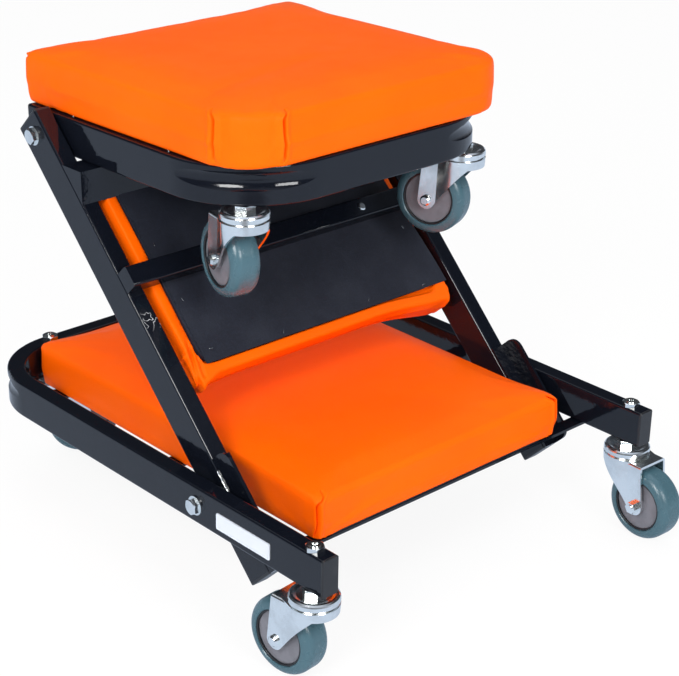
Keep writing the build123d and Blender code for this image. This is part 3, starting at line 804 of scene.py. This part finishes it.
class SEAT_OT_staples(bpy.types.Operator):
    """Put staples round the edge of each board's covering"""
    bl_idname = "seat.staples"
    bl_label = "Staples"

    def execute(self, context):
        sizes = context.scene.seat_sizes
        edge_inset, cloth_level = 0.0055, 0.0009
        stray, wave, phase = 0.5, 2.1, 0.4
        boards = (
            ("middle_board", "arms", ARMS, 1, "back_staples"),
            ("seat_board", "seat", SEAT, -1, "seat_staples"),
            ("base_board", "base", BASE, -1, "base_staples"),
        )
        for node, body, section, side, name in boards:
            low, high = local_box(node, section)
            level = high[2] + cloth_level if side > 0 else low[2]
            places = BACK_STAPLES if side > 0 else staple_places(low, high, edge_inset)
            made = []
            for index, (x, y, turn) in enumerate(places):
                lean = turn + stray * sin(wave * index + phase)
                place = Matrix.Translation((x, y, level)) @ Matrix.Rotation(lean, 4, "Z")
                made.append(add_staple(section @ place, sizes, side))
            dress(join(made, name), body, "zinc")
        return {"FINISHED"}


def staple_places(low, high, inset):
    """Places round a board's edge, with an uneven step as a hand stapler leaves them."""
    x0, x1, y0, y1 = low[0] + inset, high[0] - inset, low[1] + inset, high[1] - inset
    # How many along a side, how far the step strays and the wave that it strays by
    across, stray_across, wave_across = 7, 0.18, 3.7
    along, stray_along, wave_along = 4, 0.16, 2.9
    for index in range(across):
        share = (index + 0.5 + stray_across * sin(wave_across * index)) / across
        yield x0 + (x1 - x0) * share, y0, 0.0
        yield x0 + (x1 - x0) * (1 - share), y1, 0.0
    for index in range(along):
        share = (index + 0.5 + stray_along * sin(wave_along * index + 1)) / along
        yield x0, y0 + (y1 - y0) * share, pi / 2
        yield x1, y0 + (y1 - y0) * (1 - share), pi / 2


def add_staple(place, sizes, side):
    """One staple: the flattened crown of wire that shows on the board."""
    wire = sizes.staple_wire
    flatness, rounding, lift = 0.7, 0.28, 0.30
    bpy.ops.object.select_all(action="DESELECT")
    bpy.ops.mesh.primitive_cube_add(size=1.0)
    piece = bpy.context.object
    piece.scale = (sizes.staple_length, wire, wire * flatness)
    settle(piece)
    bpy.ops.object.mode_set(mode="EDIT")
    bpy.ops.mesh.select_all(action="SELECT")
    bpy.ops.mesh.bevel(offset=wire * rounding, segments=2, affect="EDGES")
    bpy.ops.object.mode_set(mode="OBJECT")
    piece.matrix_world = place @ Matrix.Translation((0, 0, side * wire * lift))
    settle(piece)
    return piece


class SEAT_OT_board_cloth(bpy.types.Operator):
    """Lay the black cloth over the back cushion's board, with its frayed left edge"""
    bl_idname = "seat.board_cloth"
    bl_label = "Board cloth"

    def execute(self, context):
        low, high = local_box("middle_board", ARMS)
        left, right, flare, flare_height = -0.1555, 0.1615, 0.0105, 0.75
        overhang, gap, thickness, sharp = 0.0010, 0.0003, 0.0006, radians(40)
        # The left edge's waves: size, wave and phase
        frays = ((0.0005, 420, 0.0), (0.0004, 173, 1.0))
        bottom, top = low[1] - overhang, high[1]
        bpy.ops.object.select_all(action="DESELECT")
        bpy.ops.mesh.primitive_grid_add(x_subdivisions=12, y_subdivisions=150, size=1.0)
        piece = context.object
        co = points_of(piece)
        along = co[:, 1] + 0.5
        start = np.full(len(co), left)
        for size, wave, phase in frays:
            start += size * np.sin(along * wave + phase)
        end = right + flare * (1 - smooth_step(along / flare_height))
        across = start + (end - start) * (co[:, 0] + 0.5)
        level = np.full(len(co), high[2] + gap)
        move_points(piece, np.stack([across, bottom + (top - bottom) * along, level], axis=1))
        alone(piece)
        bpy.ops.object.modifier_add(type="SOLIDIFY")
        piece.modifiers[-1].thickness = -thickness
        bpy.ops.object.modifier_apply(modifier=piece.modifiers[-1].name)
        piece.matrix_world = ARMS
        settle(piece)
        bpy.ops.object.shade_smooth_by_angle(angle=sharp)
        piece.name = piece.data.name = "back_board_cloth"
        dress(piece, "arms", "board")
        return {"FINISHED"}


class SEAT_OT_welds(bpy.types.Operator):
    """Lay a weld bead along each stop bracket where it meets the arm, in bright zinc as a painted highlight for
    its glints
    """
    bl_idname = "seat.welds"
    bl_label = "Welds"

    def execute(self, context):
        radius = context.scene.seat_sizes.weld_r
        bracket_edge, lower, upper = 0.0195, -0.0115, 0.0190
        beads = []
        for side in (-1, 1):
            x = side * (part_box("right_arm")[0].x + bracket_edge)
            beads.append(add_weld((x, lower, TUBE_HALF), (x, upper, TUBE_HALF), radius))
        # Bright zinc on the beads, though the welds are gloss black with the frame: a painted highlight standing
        # for their glints.
        dress(join(beads, "bracket_welds"), "arms", "zinc")
        return {"FINISHED"}


def add_weld(start, end, radius):
    """A bead of overlapping ripples from one point of the arms' frame to another."""
    a, b = Vector(start), Vector(end)
    step, ripple, wave, spread, squash, fewest, fineness = 0.9, 0.22, 5.3, 40, (1.0, 0.8, 0.55), 3, 4
    count = max(fewest, int((b - a).length / (radius * step)))
    drops = []
    for index in range(count):
        bpy.ops.object.select_all(action="DESELECT")
        size = radius * (1 + ripple * sin(wave * index + a.x * spread))
        place = a.lerp(b, (index + 0.5) / count)
        bpy.ops.mesh.primitive_ico_sphere_add(subdivisions=2, radius=size, location=place)
        drop = bpy.context.object
        drop.scale = squash
        settle(drop)
        drops.append(drop)
    bead = join(drops, "bead")
    bead.data.remesh_voxel_size = radius / fineness
    bpy.ops.object.voxel_remesh()
    bead.matrix_world = ARMS
    settle(bead)
    bpy.ops.object.shade_smooth()
    return bead


class SEAT_OT_wheel_seams(bpy.types.Operator):
    """Lay a black ring in the groove between each wheel's core and its tread, as painted shade of that groove"""
    bl_idname = "seat.wheel_seams"
    bl_label = "Wheel seams"

    def execute(self, context):
        groove_shade_r = context.scene.seat_sizes.groove_shade_r
        pressed_in, disc_share = 0.2, 0.9
        for corner in CORNERS:
            joint = JOINTS[corner + "_roll"]
            axis = Vector(joint["axis"]).normalized()
            middle = Vector(joint["pos_m"])
            core = points_of(NODES[corner + "_wheel_core"]) - np.array(middle)
            off = core @ np.array(axis)
            rim = np.linalg.norm(core - off[:, None] * np.array(axis), axis=1)
            # The ring lies on the edge of the core's disc, pressed a little into the tread.
            radius = rim.max() - (1 - pressed_in) * groove_shade_r
            face = np.abs(off[rim > disc_share * radius]).max() + groove_shade_r
            turn = axis.to_track_quat("Z", "Y").to_matrix().to_4x4()
            rings = []
            for side in (-1, 1):
                bpy.ops.object.select_all(action="DESELECT")
                bpy.ops.mesh.primitive_torus_add(major_segments=72, minor_segments=8, major_radius=radius,
                                                 minor_radius=groove_shade_r)
                ring = context.object
                ring.matrix_world = Matrix.Translation(middle + axis * side * face) @ turn
                settle(ring)
                rings.append(ring)
            piece = join(rings, corner + "_wheel_seam")
            bpy.ops.object.shade_smooth()
            # Black plastic on the ring: painted shade in the groove where the core meets the tread.
            dress(piece, corner + "_wheel", "plug")
        return {"FINISHED"}


class SEAT_OT_sticker(bpy.types.Operator):
    """Put the blank white sticker on the left base rail"""
    bl_idname = "seat.sticker"
    bl_label = "Blank sticker"

    def execute(self, context):
        thickness = context.scene.seat_sizes.sticker_t
        wide, tall, corner_r, middle_y, middle_z = 0.0745, 0.0165, 0.0012, -0.1748, 0.1150
        bpy.ops.object.select_all(action="DESELECT")
        bpy.ops.mesh.primitive_cube_add(size=1.0)
        piece = context.object
        piece.scale = (thickness, wide, tall)
        settle(piece)
        bpy.ops.object.mode_set(mode="EDIT")
        bpy.ops.mesh.select_all(action="DESELECT")
        bpy.ops.object.mode_set(mode="OBJECT")
        for edge in piece.data.edges:
            a, b = (piece.data.vertices[i].co for i in edge.vertices)
            edge.select = abs(a.x - b.x) > thickness / 2
        bpy.ops.object.mode_set(mode="EDIT")
        bpy.ops.mesh.bevel(offset=corner_r, segments=4, affect="EDGES")
        bpy.ops.object.mode_set(mode="OBJECT")
        piece.location = (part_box("base_frame")[0].x - thickness / 2, middle_y, middle_z)
        settle(piece)
        piece.name = piece.data.name = "rail_sticker"
        piece.data.materials.clear()
        piece.data.materials.append(sticker_film(context.scene.seat_colours))
        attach(piece, "base")
        return {"FINISHED"}


class SEAT_OT_finishes(bpy.types.Operator):
    """Give each node of the frame the finish of its slot"""
    bl_idname = "seat.finishes"
    bl_label = "Finishes"

    def execute(self, context):
        slots = {part["node"]: part["material_slot"] for part in frame["record"]["subparts"]}
        for node, piece in NODES.items():
            if not piece.material_slots:
                piece.data.materials.append(None)
            for place in piece.material_slots:
                place.material = finish(slots[node])
        return {"FINISHED"}


# Studio. Lamps: name, place, what it faces, width, and the setting that holds its power

LAMPS = (
    ("key_lamp", (-1.75, -0.80, 1.42), (0.0, -0.1, 0.25), 0.75, "key"),
    ("front_lamp", (-0.42, -2.15, 1.30), (0.0, -0.1, 0.30), 0.75, "fill"),
    ("top_lamp", (0.3, 0.6, 2.8), (0.0, 0.0, 0.2), 2.4, "top"),
)


class SEAT_OT_studio(bpy.types.Operator):
    """Set up the floor, the lamps, the sky and the camera"""
    bl_idname = "seat.studio"
    bl_label = "Studio"

    def execute(self, context):
        studio = context.scene.seat_studio
        add_floor(context.scene.seat_colours)
        for name, place, target, width, power in LAMPS:
            add_lamp(name, place, target, width, getattr(studio, power))
        add_sky(studio.sky)
        add_camera(studio.focal)
        return {"FINISHED"}


def add_floor(tints):
    """A pale floor, white for the camera; gloss sees its own tone, with a painted dark reflection near the front
    left.
    """
    # Painted dark reflection: round this point the floor glows darker for gloss rays only, so the frame mirrors a
    # dark patch there.
    dark_reflection_at, dark_reflection_r, dark_reflection_reach, dark_reflection_tone = (-0.86, -0.96, 0.0), 0.16, 0.46, (0.05, 0.05, 0.07)
    whiteness = 0.90
    bpy.ops.object.select_all(action="DESELECT")
    bpy.ops.mesh.primitive_plane_add(size=24.0, location=(0, 0, 0))
    floor = bpy.context.object
    floor.name = "floor"
    material = bpy.data.materials.new("floor")
    nodes = Nodes(material)
    gloss = nodes.ray("Glossy")
    shown = nodes.ray("Camera").most(gloss).most(nodes.ray("Transmission")) * whiteness
    # 0 at the middle of the painted dark reflection, 1 beyond its reach; the floor's gloss tone darkens towards
    # that middle.
    off_dark_reflection = nodes.distance(dark_reflection_at).between(dark_reflection_r, dark_reflection_reach)
    mirrored = nodes.mixed(off_dark_reflection, dark_reflection_tone, tints.mirrored_floor)
    tone = nodes.mixed(gloss, (1, 1, 1), mirrored)
    plain = nodes.node("ShaderNodeBsdfDiffuse", {}, {"Color": tints.floor})
    white = nodes.node("ShaderNodeEmission", {}, {"Color": tone})
    nodes.close("ShaderNodeOutputMaterial", nodes.mixed_shader(shown, plain, white))
    floor.data.materials.append(material)


def add_lamp(name, place, target, width, power):
    bpy.ops.object.select_all(action="DESELECT")
    bpy.ops.object.light_add(type="AREA", location=place)
    lamp = bpy.context.object
    lamp.name = name
    lamp.data.size = width
    lamp.data.energy = power
    lamp.rotation_euler = (Vector(target) - Vector(place)).to_track_quat("-Z", "Y").to_euler()


def add_sky(strength):
    """Even light for the object, white behind it, and a banded sky for what gloss and metal reflect."""
    tint, even_grey = (0.86, 0.95, 1.12), (0.8, 0.8, 0.8)
    levels = ((0.0, 0.60), (0.05, 0.42), (0.15, 0.045), (0.62, 0.03), (0.84, 0.42), (0.97, 0.75))
    world = bpy.data.worlds.new("studio_sky")
    bpy.context.scene.world = world
    nodes = Nodes(world)
    around = nodes.node("ShaderNodeTexCoord", {}, {}, "Generated")
    height = nodes.node("ShaderNodeSeparateXYZ", {}, {0: around}, "Z")
    stops = [(place, [level * channel for channel in tint]) for place, level in levels]
    bands = nodes.node("ShaderNodeValToRGB", {"stops": stops}, {0: height})
    even = nodes.node("ShaderNodeBackground", {}, {"Color": even_grey, "Strength": strength})
    mirrored = nodes.node("ShaderNodeBackground", {}, {"Color": bands})
    white = nodes.node("ShaderNodeBackground", {}, {"Color": (1, 1, 1)})
    lit = nodes.mixed_shader(nodes.ray("Glossy"), even, mirrored)
    clear = nodes.ray("Camera").most(nodes.ray("Transmission"))
    nodes.close("ShaderNodeOutputWorld", nodes.mixed_shader(clear, lit, white))


def add_camera(focal):
    """The camera of the photograph: its heading, its height and its slight roll."""
    heading, height, roll, reach = -0.750250, 0.419768, -0.0177666, 1.922666
    target = Vector((0.103364, 0.055840, 0.136700))
    level = Vector((cos(heading), sin(heading), 0))
    ahead = Vector((-sin(heading) * cos(height), cos(heading) * cos(height), -sin(height)))
    down = ahead.cross(level)
    right = cos(roll) * level + sin(roll) * down
    below = -sin(roll) * level + cos(roll) * down
    bpy.ops.object.select_all(action="DESELECT")
    bpy.ops.object.camera_add()
    camera = bpy.context.object
    camera.name = "camera"
    camera.data.sensor_width = 36.0
    camera.data.sensor_fit = "HORIZONTAL"
    camera.data.lens = focal
    turn = Matrix((right, -below, -ahead)).transposed().to_4x4()
    camera.matrix_world = Matrix.Translation(target - ahead * reach) @ turn
    bpy.context.scene.camera = camera
    bpy.context.scene.view_settings.view_transform = "Standard"


# Panel, registration and the order of work

MAKERS = (
    SEAT_OT_finishes, SEAT_OT_base_cushion, SEAT_OT_back_cushion, SEAT_OT_seat_cushion,
    SEAT_OT_board_cloth, SEAT_OT_staples, SEAT_OT_welds, SEAT_OT_wheel_seams, SEAT_OT_sticker, SEAT_OT_studio,
)


class SEAT_PT_maker(bpy.types.Panel):
    """Sizes, colours and the steps of making the seat"""
    bl_idname = "SEAT_PT_maker"
    bl_label = "Rolling Mechanic Seat"
    bl_space_type = "VIEW_3D"
    bl_region_type = "UI"
    bl_category = "Mechanic Seat"

    def draw(self, context):
        for group in (context.scene.seat_sizes, context.scene.seat_colours, context.scene.seat_studio):
            box = self.layout.box()
            for name in group.__annotations__:
                box.prop(group, name)
        for maker in MAKERS:
            self.layout.operator(maker.bl_idname)


CLASSES = (SeatSizes, SeatColours, StudioSettings, *MAKERS, SEAT_PT_maker)


def register():
    for cls in CLASSES:
        bpy.utils.register_class(cls)
    bpy.types.Scene.seat_sizes = PointerProperty(type=SeatSizes)
    bpy.types.Scene.seat_colours = PointerProperty(type=SeatColours)
    bpy.types.Scene.seat_studio = PointerProperty(type=StudioSettings)


def unregister():
    del bpy.types.Scene.seat_studio
    del bpy.types.Scene.seat_colours
    del bpy.types.Scene.seat_sizes
    for cls in reversed(CLASSES):
        bpy.utils.unregister_class(cls)


def main():
    register()
    bpy.ops.seat.finishes()
    bpy.ops.seat.base_cushion()
    bpy.ops.seat.back_cushion()
    bpy.ops.seat.seat_cushion()
    bpy.ops.seat.board_cloth()
    bpy.ops.seat.staples()
    bpy.ops.seat.welds()
    bpy.ops.seat.wheel_seams()
    bpy.ops.seat.sticker()
    bpy.ops.seat.studio()


if __name__ == "__main__":
    main()
